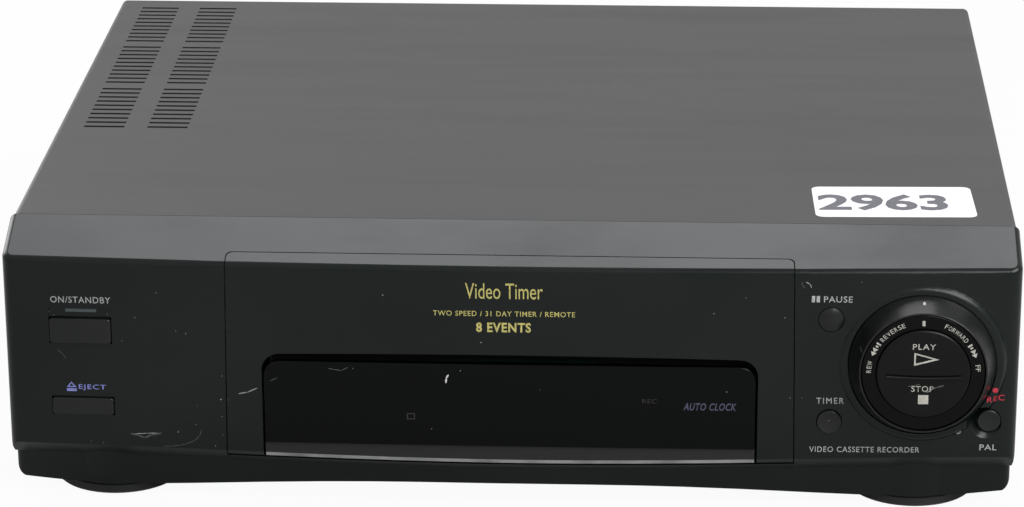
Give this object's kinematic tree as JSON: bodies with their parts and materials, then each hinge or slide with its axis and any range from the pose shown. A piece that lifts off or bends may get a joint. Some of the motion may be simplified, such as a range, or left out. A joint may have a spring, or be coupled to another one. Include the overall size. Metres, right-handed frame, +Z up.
{
  "type": "video cassette recorder",
  "caption": "Front-loading video cassette recorder with grey steel cover, black bezel, hinged cassette lid, smoked display flap and jog-shuttle knob.",
  "frame": {"origin": "centre of the bounding box at the bottom, where the feet stand", "axes": "+Z up, +X to the right across the front, +Y to the rear, so the front faces -Y"},
  "size_m": [0.39, 0.3346, 0.109],
  "materials": {
    "cover_paint": "satin",
    "case_black": "satin",
    "window_smoke": "gloss",
    "control_black": "satin",
    "ring_gloss": "gloss",
    "zinc_steel": "satin",
    "foot_black": "matt",
    "board_green": "satin",
    "board_tan": "satin",
    "display_glass": "gloss",
    "machined_alloy": "machined",
    "white_plastic": "satin",
    "grey_plastic": "satin",
    "roller_rubber": "matt",
    "indicator_red": "gloss"
  },
  "bodies": {
    "casing": {"top_cover": "cover_paint", "front_bezel": "case_black", "base_chassis": "zinc_steel", "rear_panel": "zinc_steel", "front_feet": "foot_black", "rear_feet": "foot_black", "inner_panel": "control_black", "fluorescent_display": "display_glass", "display_board": "board_tan", "left_control_board": "board_tan", "right_control_board": "board_tan", "standby_indicator": "indicator_red", "legend_ring": "ring_gloss", "shuttle_encoder": "grey_plastic", "main_board": "board_green", "power_board": "board_tan", "transformer": "machined_alloy", "heat_sink": "machined_alloy", "capacitors": "grey_plastic", "tuner_module": "zinc_steel", "scart_socket_one": "control_black", "scart_socket_two": "control_black", "mains_inlet": "control_black", "deck_plate": "zinc_steel", "side_frame_left": "zinc_steel", "side_frame_right": "zinc_steel", "drum_base": "machined_alloy", "capstan_motor": "zinc_steel", "loading_motor": "zinc_steel", "control_head": "machined_alloy", "erase_head": "machined_alloy"},
    "cassette_lid": {"cassette_lid": "case_black"},
    "display_flap": {"display_flap": "window_smoke"},
    "power_button": {"power_button": "control_black"},
    "eject_button": {"eject_button": "control_black"},
    "pause_button": {"pause_button": "control_black"},
    "timer_button": {"timer_button": "control_black"},
    "record_button": {"record_button": "control_black"},
    "channel_up_key": {"channel_up_key": "control_black"},
    "channel_down_key": {"channel_down_key": "control_black"},
    "store_key": {"store_key": "control_black"},
    "tracking_key": {"tracking_key": "control_black"},
    "shuttle_ring": {"shuttle_ring": "ring_gloss"},
    "play_stop_disc": {"play_stop_disc": "control_black"},
    "holder_slider": {"holder_slider": "zinc_steel"},
    "cassette_holder": {"cassette_holder": "zinc_steel"},
    "head_drum": {"head_drum": "machined_alloy"},
    "capstan": {"capstan": "zinc_steel"},
    "pinch_arm": {"pinch_arm": "zinc_steel"},
    "pinch_roller": {"pinch_roller": "roller_rubber"},
    "supply_reel": {"supply_reel": "grey_plastic"},
    "takeup_reel": {"takeup_reel": "grey_plastic"},
    "idler_arm": {"idler_arm": "white_plastic"},
    "idler_gear": {"idler_gear": "white_plastic"},
    "guide_carriage_left": {"guide_carriage_left": "machined_alloy"},
    "guide_carriage_right": {"guide_carriage_right": "machined_alloy"},
    "cam_gear": {"cam_gear": "white_plastic"},
    "worm_shaft": {"worm_shaft": "white_plastic"}
  },
  "joints": [
    {"name": "lid_swing", "type": "hinge", "parent": "casing", "child": "cassette_lid", "pos_m": [0, -0.15293, 0.0962], "axis": [1, 0, 0], "range_deg": [0, 86], "stiffness_Nm_per_rad": 0.01},
    {"name": "flap_swing", "type": "hinge", "parent": "casing", "child": "display_flap", "pos_m": [0, -0.15253, 0.0234], "axis": [1, 0, 0], "range_deg": [0, 75]},
    {"name": "power_press", "type": "slide", "parent": "casing", "child": "power_button", "axis": [0, 1, 0], "range_m": [0, 0.0012], "stiffness_N_per_m": 300},
    {"name": "eject_press", "type": "slide", "parent": "casing", "child": "eject_button", "axis": [0, 1, 0], "range_m": [0, 0.0012], "stiffness_N_per_m": 300},
    {"name": "pause_press", "type": "slide", "parent": "casing", "child": "pause_button", "axis": [0, 1, 0], "range_m": [0, 0.0012], "stiffness_N_per_m": 300},
    {"name": "timer_press", "type": "slide", "parent": "casing", "child": "timer_button", "axis": [0, 1, 0], "range_m": [0, 0.0012], "stiffness_N_per_m": 300},
    {"name": "record_press", "type": "slide", "parent": "casing", "child": "record_button", "axis": [0, 1, 0], "range_m": [0, 0.0012], "stiffness_N_per_m": 300},
    {"name": "channel_up_press", "type": "slide", "parent": "casing", "child": "channel_up_key", "axis": [0, 1, 0], "range_m": [0, 0.0008], "stiffness_N_per_m": 100},
    {"name": "channel_down_press", "type": "slide", "parent": "casing", "child": "channel_down_key", "axis": [0, 1, 0], "range_m": [0, 0.0008], "stiffness_N_per_m": 100},
    {"name": "store_press", "type": "slide", "parent": "casing", "child": "store_key", "axis": [0, 1, 0], "range_m": [0, 0.0008], "stiffness_N_per_m": 100},
    {"name": "tracking_press", "type": "slide", "parent": "casing", "child": "tracking_key", "axis": [0, 1, 0], "range_m": [0, 0.0008], "stiffness_N_per_m": 100},
    {"name": "shuttle_turn", "type": "hinge", "parent": "casing", "child": "shuttle_ring", "pos_m": [0.1578, 0, 0.062], "axis": [0, -1, 0], "range_deg": [-60, 60], "stiffness_Nm_per_rad": 0.01},
    {"name": "disc_rock", "type": "hinge", "parent": "casing", "child": "play_stop_disc", "pos_m": [0.1578, -0.16032, 0.062], "axis": [1, 0, 0], "range_deg": [-3, 3], "stiffness_Nm_per_rad": 0.05},
    {"name": "slider_in", "type": "slide", "parent": "casing", "child": "holder_slider", "axis": [0, 1, 0], "range_m": [0, 0.07]},
    {"name": "holder_lower", "type": "slide", "parent": "holder_slider", "child": "cassette_holder", "axis": [0, 0, -1], "range_m": [0, 0.027]},
    {"name": "drum_spin", "type": "hinge", "parent": "casing", "child": "head_drum", "pos_m": [0, 0.08727, 0], "axis": [0, 0, 1], "continuous": true},
    {"name": "capstan_spin", "type": "hinge", "parent": "casing", "child": "capstan", "pos_m": [0.064, 0.04327, 0], "axis": [0, 0, 1], "continuous": true},
    {"name": "pinch_swing", "type": "hinge", "parent": "casing", "child": "pinch_arm", "pos_m": [0.092, 0.07327, 0], "axis": [0, 0, 1], "range_deg": [0, 35]},
    {"name": "pinch_spin", "type": "hinge", "parent": "pinch_arm", "child": "pinch_roller", "pos_m": [0.0586, 0.06907, 0], "axis": [0, 0, 1], "continuous": true},
    {"name": "supply_spin", "type": "hinge", "parent": "casing", "child": "supply_reel", "pos_m": [-0.046, -0.00073, 0], "axis": [0, 0, 1], "continuous": true},
    {"name": "takeup_spin", "type": "hinge", "parent": "casing", "child": "takeup_reel", "pos_m": [0.046, -0.00073, 0], "axis": [0, 0, 1], "continuous": true},
    {"name": "idler_swing", "type": "hinge", "parent": "casing", "child": "idler_arm", "pos_m": [0, -0.02973, 0], "axis": [0, 0, 1], "range_deg": [-8, 8]},
    {"name": "idler_spin", "type": "hinge", "parent": "idler_arm", "child": "idler_gear", "pos_m": [0, 0.00027, 0], "axis": [0, 0, 1], "continuous": true},
    {"name": "guide_left_run", "type": "hinge", "parent": "casing", "child": "guide_carriage_left", "pos_m": [0, 0.08727, 0], "axis": [0, 0, 1], "range_deg": [-74, 0]},
    {"name": "guide_right_run", "type": "hinge", "parent": "casing", "child": "guide_carriage_right", "pos_m": [0, 0.08727, 0], "axis": [0, 0, 1], "range_deg": [0, 74]},
    {"name": "cam_turn", "type": "hinge", "parent": "casing", "child": "cam_gear", "pos_m": [-0.086, 0.09627, 0], "axis": [0, 0, 1], "range_deg": [0, 300]},
    {"name": "worm_spin", "type": "hinge", "parent": "casing", "child": "worm_shaft", "pos_m": [-0.1053, 0, 0.043], "axis": [0, 1, 0], "continuous": true}
  ],
  "couplings": [
    {"joint": "pinch_swing", "follows": "cam_turn", "ratio": 0.1166},
    {"joint": "guide_left_run", "follows": "cam_turn", "ratio": -0.2466},
    {"joint": "guide_right_run", "follows": "cam_turn", "ratio": 0.2466},
    {"joint": "worm_spin", "follows": "cam_turn", "ratio": 24}
  ]
}
